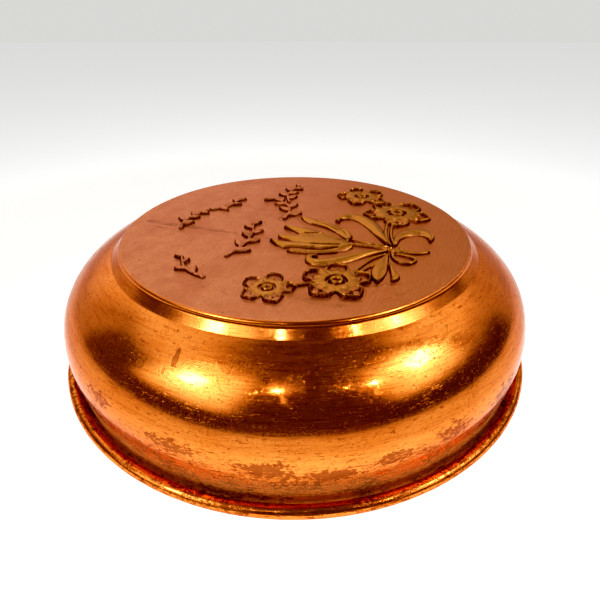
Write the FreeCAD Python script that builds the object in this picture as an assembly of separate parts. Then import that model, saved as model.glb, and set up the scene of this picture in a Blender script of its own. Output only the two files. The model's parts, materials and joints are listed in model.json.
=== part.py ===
"""Embossed copper mould with a wired rim and a hanging ring, lying on its rim.

Millimetres, +Z up. The origin is the centre of the mouth, on the plane that the rim rests on.
The hanging ring is on the +Y side, so that the bouquet on the base hangs the right way up.
"""

import FreeCAD, Part
import math
import os
from FreeCAD import Rotation, Vector

os.makedirs("parts", exist_ok=True)

# ---- the sheet and its profile ----
SHEET = 0.8                 # copper sheet
TIN = 0.3                   # tin lining
RIM_RADIUS = 110.0          # outside of the rolled rim
BASE_RADIUS = 77.8          # outside of the flat base's shoulder
BASE_HEIGHT = 54.0          # flat base above the plane that the rim rests on
BELLY_RADIUS = 105.8        # widest point of the wall
BELLY_HEIGHT = 20.0

# A profile angle is the angle of the surface's normal above level.
SHOULDER_FILLET = 1.2       # convex edge round the base
SHOULDER_ANGLE = 15.0       # where the edge turns into the neck
NECK_ANGLE = 50.0           # the neck's cone
NECK_FILLET = 2.0           # concave, above and below the cone
CREST_ARC = 42.0            # upper, flatter arc of the wall
BELLY_ANGLE = 46.0          # where the upper arc meets the belly's arc
BELLY_ARC = 27.7
FOOT_ANGLE = -6.0           # the lower wall leans in towards the foot
FOOT_FILLET = 1.5           # cove between the wall and the flange

# ---- the rolled rim ----
WIRE_RADIUS = 1.5           # steel wire in the rim
CURL_END = 205.0            # the curl runs from the bead's bottom, outside and over, to this angle
LINING_FOOT = 3.2           # the lining stops this far above the rest plane

# ---- the embossing ----
RELIEF = 1.8                # height of the tallest embossing above the base
PETAL_RELIEF = 1.6
BOSS_RELIEF = 1.2
PETAL_CIRCLE = 7.5          # radius of the petals' circle on the largest flower
PETAL_HALF_WIDTH = 4.0
BOSS_HALF_WIDTH = 2.4
PETALS = 5
DOME_ROOT = 0.5             # how far an embossed dome reaches under the surface that it stands on
FLOWERS = [                 # centre x, centre y, size against the largest
    (36.6, -37.6, 1.0),
    (51.9, -14.4, 0.85),
    (-39.8, -36.6, 0.95),
    (-54.6, -16.0, 0.8),
]
BUD = (-12.0, -14.0, 10.0)  # centre x, centre y, half width

# ---- the hanging ring and its strap ----
EYE_Y = 107.05              # the hinge line is parallel to X through (EYE_Y, EYE_Z)
EYE_Z = 7.0
RING_WIRE = 1.2             # radius of the ring's wire
EYE_CLEARANCE = 0.05        # between the ring's bar and the strap's eye
RING_HALF_WIDTH = 9.0       # the ring's wire centre line
RING_REACH = 23.0           # from the bar to the far end, on the wire's centre line
RING_CORNER = 2.5
STRAP_WIDTH = 11.8
STRAP_TOP = 20.5
STRAP_FACE = 107.5          # y of the strap's flat outer face
STRAP_SEAM = 0.15           # gap between the folded strap's two layers
STRAP_SEAM_FOOT = 11.0
RIVET_X = 3.2
RIVET_Z = 15.5
RIVET_RADIUS = 1.25
RIVET_HEAD_RADIUS = 2.2
RIVET_HEAD_HEIGHT = 1.0

BEAD_RADIUS = WIRE_RADIUS + SHEET
BEAD_CENTRE = Vector(RIM_RADIUS - BEAD_RADIUS, 0, BEAD_RADIUS)
ORIGIN = Vector(0, 0, 0)
X_AXIS = Vector(1, 0, 0)
Y_AXIS = Vector(0, 1, 0)
Z_AXIS = Vector(0, 0, 1)


def direction(degrees):
    """Unit vector in the profile's plane, at an angle above level."""
    angle = math.radians(degrees)
    return Vector(math.cos(angle), 0, math.sin(angle))


def arc(centre, radius, start, end):
    """Arc in the profile's plane between two polar angles about its centre."""
    angles = (start, (start + end) / 2, end)
    return Part.Arc(*[centre + direction(a) * radius for a in angles]).toShape()


def line(start, end):
    return Part.LineSegment(start, end).toShape()


def profile_arcs():
    """The outside's arcs from the base to the flange: centre, radius, first and last angle, bulge.

    Bulge is 1 on a convex arc and -1 on a concave one. Each arc is tangent to the next, or a
    straight line tangent to both joins them.
    """
    shoulder = Vector(BASE_RADIUS - SHOULDER_FILLET, 0, BASE_HEIGHT - SHOULDER_FILLET)
    upper_cove = shoulder + direction(SHOULDER_ANGLE) * (SHOULDER_FILLET + NECK_FILLET)
    belly = Vector(BELLY_RADIUS - BELLY_ARC, 0, BELLY_HEIGHT)
    crest = belly - direction(BELLY_ANGLE) * (CREST_ARC - BELLY_ARC)

    # The neck's cone ends where the cove below it touches the crest's arc.
    down_cone = direction(NECK_ANGLE - 90)
    gap = upper_cove - crest
    fall = gap.dot(down_cone)
    reach = CREST_ARC + NECK_FILLET
    cone_length = -fall - math.sqrt(fall ** 2 - gap.Length ** 2 + reach ** 2)
    lower_cove = upper_cove + down_cone * cone_length
    to_cove = lower_cove - crest
    crest_angle = math.degrees(math.atan2(to_cove.z, to_cove.x))

    # The lower wall ends where the cove at its foot is tangent to the flange.
    wall_start = belly + direction(FOOT_ANGLE) * (BELLY_ARC + FOOT_FILLET)
    down_wall = direction(FOOT_ANGLE - 90)
    foot_cove = wall_start + down_wall * ((SHEET + FOOT_FILLET - wall_start.z) / down_wall.z)

    return [
        (shoulder, SHOULDER_FILLET, 90, SHOULDER_ANGLE, 1),
        (upper_cove, NECK_FILLET, SHOULDER_ANGLE, NECK_ANGLE, -1),
        (lower_cove, NECK_FILLET, NECK_ANGLE, crest_angle, -1),
        (crest, CREST_ARC, crest_angle, BELLY_ANGLE, 1),
        (belly, BELLY_ARC, BELLY_ANGLE, FOOT_ANGLE, 1),
        (foot_cove, FOOT_FILLET, FOOT_ANGLE, 90, -1),
    ]


def surface_edges(depth):
    """Edges of the surface at a depth below the outside, from the axis to the flange, and its end."""
    edges = []
    here = Vector(0, 0, BASE_HEIGHT - depth)
    for centre, radius, first, last, bulge in profile_arcs():
        offset_radius = radius - bulge * depth
        turn = 0 if bulge == 1 else 180
        start = centre + direction(first + turn) * offset_radius
        if (start - here).Length > 1e-4:
            edges.append(line(here, start))
        edges.append(arc(centre, offset_radius, first + turn, last + turn))
        here = centre + direction(last + turn) * offset_radius
    return edges, here


def revolved(edges):
    """Solid of revolution about Z of the closed outline that the edges make."""
    outline = Part.Wire(Part.__sortEdges__(edges))
    return Part.Face(outline).revolve(ORIGIN, Z_AXIS, 360)


def dome(x, y, half_width, height, depth):
    """Cap of a ball, standing on the base. At a depth in the sheet, the ball is that much smaller."""
    radius = (half_width ** 2 + height ** 2) / (2 * height)
    centre_z = BASE_HEIGHT + height - radius
    root_z = BASE_HEIGHT - depth - DOME_ROOT
    root_angle = math.degrees(math.asin((root_z - centre_z) / (radius - depth)))
    return Part.makeSphere(radius - depth, Vector(x, y, centre_z), Z_AXIS, root_angle, 90)


def embossing(depth):
    """The caps that are the flowers' petals and bosses, and the bud."""
    x, y, half_width = BUD
    caps = [dome(x, y, half_width, RELIEF, depth)]
    for x, y, size in FLOWERS:
        caps.append(dome(x, y, BOSS_HALF_WIDTH * size, BOSS_RELIEF, depth))
        for k in range(PETALS):
            out = Rotation(Z_AXIS, 360 * k / PETALS).multVec(Y_AXIS) * PETAL_CIRCLE * size
            caps.append(dome(x + out.x, y + out.y, PETAL_HALF_WIDTH * size, PETAL_RELIEF, depth))
    return caps


def filled(depth):
    """Everything under the surface at a depth, down to the rest plane."""
    edges, end = surface_edges(depth)
    foot = Vector(end.x, 0, min(end.z, 0))
    centre = Vector(0, 0, foot.z)
    if end.z > 1e-4:
        edges.append(line(end, foot))
    edges.append(line(foot, centre))
    edges.append(line(centre, Vector(0, 0, BASE_HEIGHT - depth)))
    return revolved(edges).fuse(embossing(depth))


def rim_curl():
    """The flange's edge, rolled round the wire."""
    _, flange = surface_edges(0)
    tip = direction(CURL_END)
    flange_top = Vector(BEAD_CENTRE.x, 0, SHEET)
    flange_bottom = Vector(BEAD_CENTRE.x, 0, 0)
    return revolved([
        line(Vector(flange.x, 0, 0), flange_bottom),
        arc(BEAD_CENTRE, BEAD_RADIUS, -90, CURL_END),
        line(BEAD_CENTRE + tip * BEAD_RADIUS, BEAD_CENTRE + tip * WIRE_RADIUS),
        arc(BEAD_CENTRE, WIRE_RADIUS, CURL_END, -90),
        line(flange_top, Vector(flange.x, 0, SHEET)),
        line(Vector(flange.x, 0, SHEET), Vector(flange.x, 0, 0)),
    ])


def bar(radius, x, y_start, y_end, z):
    """Round bar along Y."""
    return Part.makeCylinder(radius, y_end - y_start, Vector(x, y_start, z), Y_AXIS)


def domed_head(x, y, z, outwards):
    """Ball that leaves a domed rivet head standing on the plane at y, towards +Y or -Y."""
    radius = (RIVET_HEAD_RADIUS ** 2 + RIVET_HEAD_HEIGHT ** 2) / (2 * RIVET_HEAD_HEIGHT)
    return Part.makeSphere(radius, Vector(x, y + outwards * (RIVET_HEAD_HEIGHT - radius), z))


def ring_strap(body):
    """Strip folded round the ring's bar, with both ends laid on the wall."""
    eye_bore = RING_WIRE + EYE_CLEARANCE
    eye_outside = eye_bore + SHEET
    left = -STRAP_WIDTH / 2
    eye = Part.makeCylinder(eye_outside, STRAP_WIDTH, Vector(left, EYE_Y, EYE_Z), X_AXIS)
    bore = Part.makeCylinder(eye_bore, STRAP_WIDTH, Vector(left, EYE_Y, EYE_Z), X_AXIS)
    wall_side = EYE_Y - eye_outside
    shoulder_z = EYE_Z + 2 * eye_outside
    corners = [
        Vector(left, wall_side, EYE_Z),
        Vector(left, EYE_Y + eye_outside, EYE_Z),
        Vector(left, STRAP_FACE, shoulder_z),
        Vector(left, STRAP_FACE, STRAP_TOP),
        Vector(left, wall_side, STRAP_TOP),
    ]
    leaf = Part.Face(Part.makePolygon(corners + corners[:1])).extrude(X_AXIS * STRAP_WIDTH)
    seam_y = STRAP_FACE - SHEET - STRAP_SEAM
    seam = Part.makeBox(STRAP_WIDTH, STRAP_SEAM, STRAP_TOP, Vector(left, seam_y, STRAP_SEAM_FOOT))
    return eye.fuse(leaf).cut([bore, seam, body])


def strap_rivets(inside, strap_face):
    """Two rivets through the strap and the wall: domed heads outside, flat ones in the bowl."""
    rivets = []
    for x in (-RIVET_X, RIVET_X):
        outer = domed_head(x, strap_face, RIVET_Z, 1)
        outer = outer.common(bar(RIVET_HEAD_RADIUS, x, strap_face, strap_face + 5, RIVET_Z))
        inner_face = BELLY_RADIUS - SHEET - RIVET_HEAD_HEIGHT
        inner = bar(RIVET_HEAD_RADIUS, x, inner_face, BELLY_RADIUS, RIVET_Z).common(inside)
        shank = bar(RIVET_RADIUS, x, inner_face, strap_face + RIVET_HEAD_HEIGHT / 2, RIVET_Z)
        rivets.append(shank.fuse([outer, inner]).removeSplitter())
    return rivets


def hanging_ring():
    """D-shaped wire ring. It is bent flat, then tilted until its far end lies on the rest plane."""
    w, c = RING_HALF_WIDTH, RING_CORNER
    far = RING_REACH - RING_HALF_WIDTH
    diagonal = c * math.sqrt(0.5)

    def corner(side):
        middle = Vector(side * (w - c + diagonal), c - diagonal, 0)
        return Part.Arc(Vector(side * (w - c), 0, 0), middle, Vector(side * w, c, 0)).toShape()

    path = Part.Wire([
        line(Vector(-(w - c), 0, 0), Vector(w - c, 0, 0)),
        corner(1),
        line(Vector(w, c, 0), Vector(w, far, 0)),
        Part.Arc(Vector(w, far, 0), Vector(0, RING_REACH, 0), Vector(-w, far, 0)).toShape(),
        line(Vector(-w, far, 0), Vector(-w, c, 0)),
        Part.Arc(Vector(-w, c, 0), Vector(-(w - c + diagonal), c - diagonal, 0),
                 Vector(-(w - c), 0, 0)).toShape(),
    ])
    section = Part.Wire(Part.makeCircle(RING_WIRE, Vector(-(w - c), 0, 0), X_AXIS))
    ring = path.makePipeShell([section], True, False)
    tilt = math.degrees(math.asin((EYE_Z - RING_WIRE) / RING_REACH))
    ring.rotate(ORIGIN, X_AXIS, -tilt)
    ring.translate(Vector(0, EYE_Y, EYE_Z))
    return ring, path.Length


body = filled(0)
inside = filled(SHEET)
rivets = strap_rivets(inside, STRAP_FACE)
ring, ring_length = hanging_ring()

below_lining = Part.makeBox(4 * RIM_RADIUS, 4 * RIM_RADIUS, 10 + LINING_FOOT,
                            Vector(-2 * RIM_RADIUS, -2 * RIM_RADIUS, -10))
nodes = {
    "pan_shell": body.fuse(rim_curl()).removeSplitter().cut([inside] + rivets),
    "rim_wire": Part.makeTorus(BEAD_CENTRE.x, WIRE_RADIUS, Vector(0, 0, BEAD_CENTRE.z), Z_AXIS),
    "tin_lining": inside.cut([filled(SHEET + TIN), below_lining] + rivets),
    "ring_strap": ring_strap(body).cut(rivets),
    "strap_rivets": Part.makeCompound(rivets),
    "hanging_ring": ring,
}

for name, shape in nodes.items():
    shape.exportStep(f"parts/{name}.step")
    box = shape.BoundBox
    print(f"{name}: solids {len(shape.Solids)} valid {shape.isValid()} volume {shape.Volume:.1f} "
          f"z {box.ZMin:.2f}..{box.ZMax:.2f} y {box.YMin:.2f}..{box.YMax:.2f}")
print("ring volume against its wire", round(ring.Volume / (math.pi * RING_WIRE ** 2 * ring_length), 4))
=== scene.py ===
"""Embossed copper mould, lying on its rolled rim with its base up."""

import json
import math

import bpy
import numpy as np
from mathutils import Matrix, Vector


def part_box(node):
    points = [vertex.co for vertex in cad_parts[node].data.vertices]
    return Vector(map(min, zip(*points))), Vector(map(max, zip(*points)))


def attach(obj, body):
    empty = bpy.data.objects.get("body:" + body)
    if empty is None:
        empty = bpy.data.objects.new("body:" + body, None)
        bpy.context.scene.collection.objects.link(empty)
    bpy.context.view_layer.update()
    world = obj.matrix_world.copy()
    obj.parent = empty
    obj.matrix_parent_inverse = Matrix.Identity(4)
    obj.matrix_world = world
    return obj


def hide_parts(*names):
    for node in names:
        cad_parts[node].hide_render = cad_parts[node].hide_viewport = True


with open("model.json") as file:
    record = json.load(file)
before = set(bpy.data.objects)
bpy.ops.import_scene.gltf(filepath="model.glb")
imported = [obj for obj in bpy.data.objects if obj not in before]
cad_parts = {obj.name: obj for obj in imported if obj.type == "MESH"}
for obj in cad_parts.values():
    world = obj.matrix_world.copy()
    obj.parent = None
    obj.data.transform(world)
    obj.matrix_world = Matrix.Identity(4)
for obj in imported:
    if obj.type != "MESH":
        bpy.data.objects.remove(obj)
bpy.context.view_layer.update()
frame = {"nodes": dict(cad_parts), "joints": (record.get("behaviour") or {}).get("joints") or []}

bl_info = {
    "name": "Embossed Copper Mould",
    "version": (1, 0, 0),
    "blender": (4, 5, 0),
    "location": "View3D > Sidebar > Mould",
    "description": "Builds a round copper mould with an embossed base, a tinned inside and a hanging ring",
    "category": "Object",
}

MM = 0.001
SHELL_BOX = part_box("pan_shell")
LINING_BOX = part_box("tin_lining")
RING_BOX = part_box("hanging_ring")
HINGE = Vector(frame["joints"][0]["pos_m"])

# ---- the profile, in millimetres; an angle is that of the surface's normal above level ----
SHOULDER = (1.2, 90, 15)        # radius, first and last angle of the edge round the base
NECK_ANGLE = 50
COVE_RADIUS = 2.0
CREST_RADIUS = 42.0
BELLY_ARC = (27.7, 46, -6)
FOOT_RADIUS = 1.5
CURL_END = 205
OUTER_COUNTS = (7, 6, 8, 14, 24, 8)     # steps in each arc of the outside, from the shoulder to the foot
INNER_COUNTS = (4, 4, 4, 8, 14, 5)      # the same for the inside and the lining
STRAIGHT_STEP = 2.4             # about the length of a step between two arcs
TOUCHING = 0.01                 # places nearer than this are the same place
DISC_EDGE = 73.0                # the base's grid ends just inside this
SPUN_START = DISC_EDGE + 1.2    # the spun profile starts here, and a ring of faces joins it to the grid
RIPPLE_START = 77.0             # radius inside which the burnisher left no ripples
BEND = 0.034                    # the grid is divided where the embossing bends more than this in a face
LINING_GAP = 0.01               # between the copper and the tin
SEAM_RADIUS = 106.1             # where the curl meets the flange, seen from below
STAIN_RADIUS = 96.0             # distance of the stains' centres from the axis, about that of the wall
RING_REACH = 23.0               # from the ring's bar to its far end, on the wire's centre line
RING_CORNER = 2.5

# ---- the bouquet: lines of (x, y, half width), in millimetres ----
LEAVES = {
    "left": [(-9.5, -46.5, 0.7), (-15, -39.5, 2.3), (-22.5, -33.5, 3.5), (-29, -27.5, 3.7),
             (-30.5, -22.5, 2.6), (-27.8, -20.2, 1.3), (-26.2, -22.6, 0.8)],
    "right": [(-2.5, -44.5, 0.8), (6, -38.6, 2.6), (14, -32.8, 3.9), (19.8, -25.8, 4.3), (20.3, -20.2, 3.5),
              (16.5, -16.6, 2.0), (12.6, -16.0, 1.4), (11.2, -17.2, 0.7)],
    "low_left": [(-12.5, -47.6, 0.8), (-18, -47.6, 2.4), (-25, -48.3, 3.4), (-31, -49.4, 2.5),
                 (-35, -50.4, 0.6)],
    "low_left_fold": [(-19.5, -50.5, 0.5), (-24, -53.0, 1.4), (-28.5, -55.3, 1.9), (-31.5, -55.0, 0.8)],
    "low_right": [(-1, -47.8, 0.9), (5, -46.9, 1.9), (11.5, -48.2, 3.2), (16, -51.6, 4.4), (16.6, -56, 4.0),
                  (12.5, -59.4, 2.0), (8.5, -60.2, 0.8)],
}
TULIP = {
    "body": [(-11.6, -30.4, 2.4), (-12.2, -25.0, 7.2), (-12.8, -18.0, 9.8), (-13.2, -13.0, 8.0),
             (-13.4, -10.0, 5.0)],
    "tip_left": [(-18.6, -17.0, 3.6), (-20.8, -10.0, 4.0), (-22.0, -4.0, 2.4), (-20.8, 1.4, 0.4)],
    "tip_middle": [(-13.6, -14.0, 3.6), (-14.4, -8.0, 3.4), (-15.2, -3.4, 2.0), (-16.4, 0.0, 0.4)],
    "tip_right": [(-7.2, -17.0, 4.0), (-5.8, -10.0, 4.6), (-5.2, -4.0, 3.0), (-5.8, 2.6, 0.4)],
    "side_left": [(-18.5, -27.5, 1.2), (-22.6, -21.0, 1.6), (-25.2, -14.0, 1.5), (-26.4, -10.0, 0.5)],
    "side_right": [(-5.2, -28.2, 1.2), (1.6, -21.5, 3.0), (5.0, -13.0, 3.8), (7.0, -5.0, 3.4),
                   (8.4, 0.6, 0.8)],
}
SEPAL = [(-6, -28.2, 1.0), (-2.2, -27.4, 1.7), (1.2, -25.0, 1.6), (2.6, -22.6, 0.6)]
STEMS = [
    [(-9.2, -30, 1.3), (-7.9, -36, 1.3), (-6.9, -42, 1.2), (-7.4, -48, 1.1)],
    [(-5.8, -30, 0.6), (-5.6, -37, 0.7), (-5.0, -43, 0.7), (-5.6, -47.5, 0.6)],
    [(-11.6, -46.6, 0.6), (-17.5, -43.3, 0.9), (-24.5, -41.4, 0.9), (-31.5, -40.4, 0.9)],
    [(-12.2, -47.2, 0.6), (-19.5, -45.9, 0.8), (-26.5, -43.6, 0.8), (-32.5, -42.2, 0.8)],
    [(-3.4, -46.6, 0.6), (2.2, -43.2, 0.9), (10.0, -40.2, 1.0), (19.5, -38.0, 1.0)],
    [(-2.6, -47.6, 0.6), (4.0, -44.6, 0.9), (11.5, -42.2, 1.0), (19.0, -40.6, 1.0)],
    [(40.5, -29.5, 0.8), (43.5, -25.0, 0.9), (46.0, -20.5, 0.9)],
    [(-46.0, -29.5, 0.7), (-49.0, -26.0, 0.8), (-51.0, -22.0, 0.7)],
]
RIBBON = [
    [(-9.6, -48.8, 1.2), (-13.6, -50.4, 1.0), (-16.2, -53.6, 0.9), (-15.0, -57.4, 0.9), (-11.6, -58.6, 0.9),
     (-9.8, -55.6, 0.9), (-9.4, -50.6, 0.9)],
    [(-7.4, -49.0, 1.4), (-5.4, -51.0, 1.3), (-3.6, -50.6, 0.9)],
    [(-7.2, -50.6, 1.1), (-6.2, -54.6, 1.3), (-4.6, -58.4, 1.3), (-2.2, -62.0, 0.5)],
]
VEINS = [                       # cuts in the petals and leaves
    [(-10.9, 2.0, 1.0), (-10.9, -3.0, 0.9), (-11.4, -8.0, 0.7), (-10.6, -14, 0.4)],
    [(-18.6, 0.4, 0.8), (-17.6, -3.6, 0.6), (-18.6, -8.5, 0.4)],
    [(-28.0, -6.0, 1.2), (-24.0, -8.6, 0.8), (-22.0, -14.0, 0.6), (-19.4, -22.0, 0.7), (-15.6, -27.6, 0.5)],
    [(-9.6, -24.6, 0.5), (-8.4, -26.6, 0.7), (-8.0, -28.6, 0.6)],
    [(-17.8, -16.0, 0.4), (-15.8, -22.0, 0.5), (-13.4, -27.5, 0.4)],
    [(-8.0, -9.0, 0.3), (-6.4, -17.0, 0.5), (-8.2, -24.0, 0.4)],
    [(-0.8, -20.0, 0.4), (2.0, -14.0, 0.6), (3.4, -6.5, 0.4)],
    [(1.6, -20.8, 0.4), (4.8, -14.6, 0.5), (6.6, -8.0, 0.4)],
    [(-27.6, -26.0, 0.4), (-22.6, -30.6, 0.6), (-17.0, -35.4, 0.5)],
    [(8.8, -13.6, 0.6), (8.3, -18.4, 0.5)],
]
# Flowers: centre x, centre y, radius, turn of the first petal from +Y
FLOWERS = [
    (34.2, -38.4, 16.6, 34),
    (50.6, -14.6, 13.4, 20),
    (-40.2, -37.0, 13.4, 2),
    (-55.2, -17.0, 10.4, -8),
]
PETALS = 5
PETAL = (0.60, 0.40, 0.37)      # centre, half length and half width, in shares of the flower's radius
# Sprigs: stem start and end, bow, number of leaves, leaf length
SPRIGS = [
    ((-27, 45), (-3, 47), 3.2, 6, 6.6),
    ((-1, 46), (17, 42), -2.6, 5, 6.2),
    ((-41, 10), (-8, 18), -3.6, 7, 7.6),
    ((4, 8), (26, 27), -5.5, 6, 8.4),
    ((26, 17), (51, 23), 3.2, 6, 7.4),
    ((-59, 8), (-50, 25), 2.6, 4, 5.6),
]
# Long shallow creases in the sheet: two ends, half width, depth
CREASES = [
    ((-30, 66), (-21, -4), 1.5, 0.10),
    ((-26.5, 66), (-18.5, 0), 0.8, -0.06),
    ((-68, 34), (-57, -52), 2.2, 0.16),
    ((-64.5, 30), (-54, -50), 0.8, -0.08),
    ((57, 28), (62, 2), 1.4, 0.12),
    ((44, 44), (46, 34), 0.9, 0.12),
    ((60, 60), (66, 20), 3.0, 0.12),
    ((-2, -60), (-1, -70), 1.0, 0.10),
]
# Half side and step of the grids laid over the embossing
MAP_REACH = 76.0
MAP_STEP = 0.4


class MouldSizes(bpy.types.PropertyGroup):
    """Sizes of the mould. Lengths are in metres."""

    rim_radius: bpy.props.FloatProperty(
        name="Rim Radius", description="Outside of the rolled rim", default=SHELL_BOX[1].x, subtype="DISTANCE",
        unit="LENGTH")
    base_radius: bpy.props.FloatProperty(
        name="Base Radius", description="Outside of the flat base", default=77.8 * MM, subtype="DISTANCE",
        unit="LENGTH")
    base_height: bpy.props.FloatProperty(
        name="Base Height", description="Flat base above the plane that the rim rests on", default=54.0 * MM,
        subtype="DISTANCE", unit="LENGTH")
    belly_radius: bpy.props.FloatProperty(
        name="Belly Radius", description="Widest point of the wall", default=105.8 * MM, subtype="DISTANCE",
        unit="LENGTH")
    belly_height: bpy.props.FloatProperty(
        name="Belly Height", description="Height of the widest point", default=20.0 * MM, subtype="DISTANCE",
        unit="LENGTH")
    sheet: bpy.props.FloatProperty(
        name="Sheet", description="Thickness of the copper", default=0.8 * MM, subtype="DISTANCE",
        unit="LENGTH")
    tin: bpy.props.FloatProperty(
        name="Tin", description="Thickness of the lining", default=0.28 * MM, subtype="DISTANCE",
        unit="LENGTH")
    wire_radius: bpy.props.FloatProperty(
        name="Wire Radius", description="Radius of the wire in the rim", default=1.5 * MM, subtype="DISTANCE",
        unit="LENGTH")
    relief: bpy.props.FloatProperty(
        name="Relief", description="Height of the tallest embossing", default=1.75 * MM, subtype="DISTANCE",
        unit="LENGTH")
    ring_wire: bpy.props.FloatProperty(
        name="Ring Wire", description="Radius of the hanging ring's wire", default=1.2 * MM, subtype="DISTANCE",
        unit="LENGTH")
    turns: bpy.props.IntProperty(
        name="Steps Round", description="Steps that the spun wall has round its axis", default=224)


class MouldFinish(bpy.types.PropertyGroup):
    """Colours of the mould's metals."""

    wall: bpy.props.FloatVectorProperty(
        name="Wall Copper", description="Polished copper of the wall", default=(0.88, 0.282, 0.075),
        subtype="COLOR")
    base: bpy.props.FloatVectorProperty(
        name="Base Copper", description="Rubbed, duller copper of the base", default=(0.70, 0.29, 0.15),
        subtype="COLOR")
    gilt: bpy.props.FloatVectorProperty(
        name="Worn Relief", description="Yellowed copper on the raised leaves", default=(0.56, 0.255, 0.055),
        subtype="COLOR")
    patina: bpy.props.FloatVectorProperty(
        name="Patina", description="Dark brown oxide", default=(0.10, 0.030, 0.012), subtype="COLOR")
    tin: bpy.props.FloatVectorProperty(
        name="Tin", description="Wiped tin", default=(0.60, 0.59, 0.56), subtype="COLOR")
    brass: bpy.props.FloatVectorProperty(
        name="Brass", description="Aged brass of the ring", default=(0.70, 0.50, 0.22), subtype="COLOR")


class MouldStudio(bpy.types.PropertyGroup):
    """Camera and floor."""

    camera_azimuth: bpy.props.FloatProperty(
        name="Camera Azimuth", description="Direction that the camera looks in, from +X",
        default=math.radians(26.5), subtype="ANGLE", unit="ROTATION")
    camera_pitch: bpy.props.FloatProperty(
        name="Camera Pitch", description="How far the camera looks down", default=0.5699, subtype="ANGLE",
        unit="ROTATION")
    camera_place: bpy.props.FloatVectorProperty(
        name="Camera Place", description="Where the camera stands", default=(-0.1620, -0.0831, 0.1292),
        subtype="TRANSLATION", unit="LENGTH")
    lens: bpy.props.FloatProperty(
        name="Lens", description="Focal length in millimetres on a 36 mm sensor", default=24.98)
    floor: bpy.props.FloatVectorProperty(
        name="Floor", description="Colour of the floor", default=(0.9, 0.9, 0.895), subtype="COLOR")


def sizes():
    return bpy.context.scene.mould_sizes


def finish():
    return bpy.context.scene.mould_finish


def studio():
    return bpy.context.scene.mould_studio


# ---- helpers for modelling ----


def deselect():
    if bpy.context.object and bpy.context.object.mode != "OBJECT":
        bpy.ops.object.mode_set(mode="OBJECT")
    bpy.ops.object.select_all(action="DESELECT")


def activate(obj):
    deselect()
    obj.select_set(True)
    bpy.context.view_layer.objects.active = obj
    return obj


def named(name):
    """Gives the active object and its mesh their name."""
    obj = bpy.context.object
    obj.name = name
    obj.data.name = name
    return obj


def numbers(items, key, width=1, kind=float):
    """One property of a mesh's vertices, edges, loops or faces, as an array."""
    flat = np.empty(len(items) * width, kind)
    items.foreach_get(key, flat)
    return flat.reshape(-1, width) if width > 1 else flat


def vertices_of(obj):
    return numbers(obj.data.vertices, "co", 3)


def place_vertices(obj, places):
    obj.data.vertices.foreach_set("co", places.ravel())
    obj.data.update()


def select_faces(obj, chosen):
    """Selects these faces alone, in edit mode with face select."""
    activate(obj)
    mesh = obj.data
    mesh.vertices.foreach_set("select", np.zeros(len(mesh.vertices), bool))
    mesh.edges.foreach_set("select", np.zeros(len(mesh.edges), bool))
    mesh.polygons.foreach_set("select", chosen)
    bpy.ops.object.mode_set(mode="EDIT")
    bpy.ops.mesh.select_mode(type="FACE")


def merge_and_turn_out(obj, distance=1e-6):
    activate(obj)
    bpy.ops.object.mode_set(mode="EDIT")
    bpy.ops.mesh.select_mode(type="VERT")
    bpy.ops.mesh.select_all(action="SELECT")
    bpy.ops.mesh.remove_doubles(threshold=distance)
    bpy.ops.mesh.normals_make_consistent(inside=False)
    bpy.ops.object.mode_set(mode="OBJECT")


# ---- the spun profile ----


def cosine(degrees):
    return math.cos(math.radians(degrees))


def sine(degrees):
    return math.sin(math.radians(degrees))


def turned(centre, radius, angle):
    return (centre[0] + radius * cosine(angle), centre[1] + radius * sine(angle))


def profile_arcs():
    """The outside's arcs from the base to the flange: centre, radius, first and last angle, bulge."""
    s = sizes()
    base_r, base_z, belly_r, belly_z, sheet = (
        v / MM for v in (s.base_radius, s.base_height, s.belly_radius, s.belly_height, s.sheet))
    edge_r, edge_first, edge_last = SHOULDER
    arc_r, arc_first, arc_last = BELLY_ARC
    shoulder = (base_r - edge_r, base_z - edge_r)
    upper_cove = turned(shoulder, edge_r + COVE_RADIUS, edge_last)
    belly = (belly_r - arc_r, belly_z)
    crest = turned(belly, arc_r - CREST_RADIUS, arc_first)
    down = turned((0, 0), 1, NECK_ANGLE - 90)
    gap = (upper_cove[0] - crest[0], upper_cove[1] - crest[1])
    fall = gap[0] * down[0] + gap[1] * down[1]
    reach = CREST_RADIUS + COVE_RADIUS
    cone = -fall - math.sqrt(fall ** 2 - gap[0] ** 2 - gap[1] ** 2 + reach ** 2)
    lower_cove = (upper_cove[0] + down[0] * cone, upper_cove[1] + down[1] * cone)
    crest_angle = math.degrees(math.atan2(lower_cove[1] - crest[1], lower_cove[0] - crest[0]))
    wall = turned(belly, arc_r + FOOT_RADIUS, arc_last)
    down = turned((0, 0), 1, arc_last - 90)
    drop = (sheet + FOOT_RADIUS - wall[1]) / down[1]
    foot = (wall[0] + down[0] * drop, wall[1] + down[1] * drop)
    return [
        (shoulder, edge_r, edge_first, edge_last, 1),
        (upper_cove, COVE_RADIUS, edge_last, NECK_ANGLE, -1),
        (lower_cove, COVE_RADIUS, NECK_ANGLE, crest_angle, -1),
        (crest, CREST_RADIUS, crest_angle, arc_first, 1),
        (belly, arc_r, arc_first, arc_last, 1),
        (foot, FOOT_RADIUS, arc_last, 90, -1),
    ]


def arc_points(centre, radius, first, last, count):
    return [turned(centre, radius, first + (last - first) * k / count) for k in range(count + 1)]


def line_points(start, end, count):
    points = [(start[0] + (end[0] - start[0]) * k / count, start[1] + (end[1] - start[1]) * k / count)
              for k in range(count)]
    return points + [end]


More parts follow.
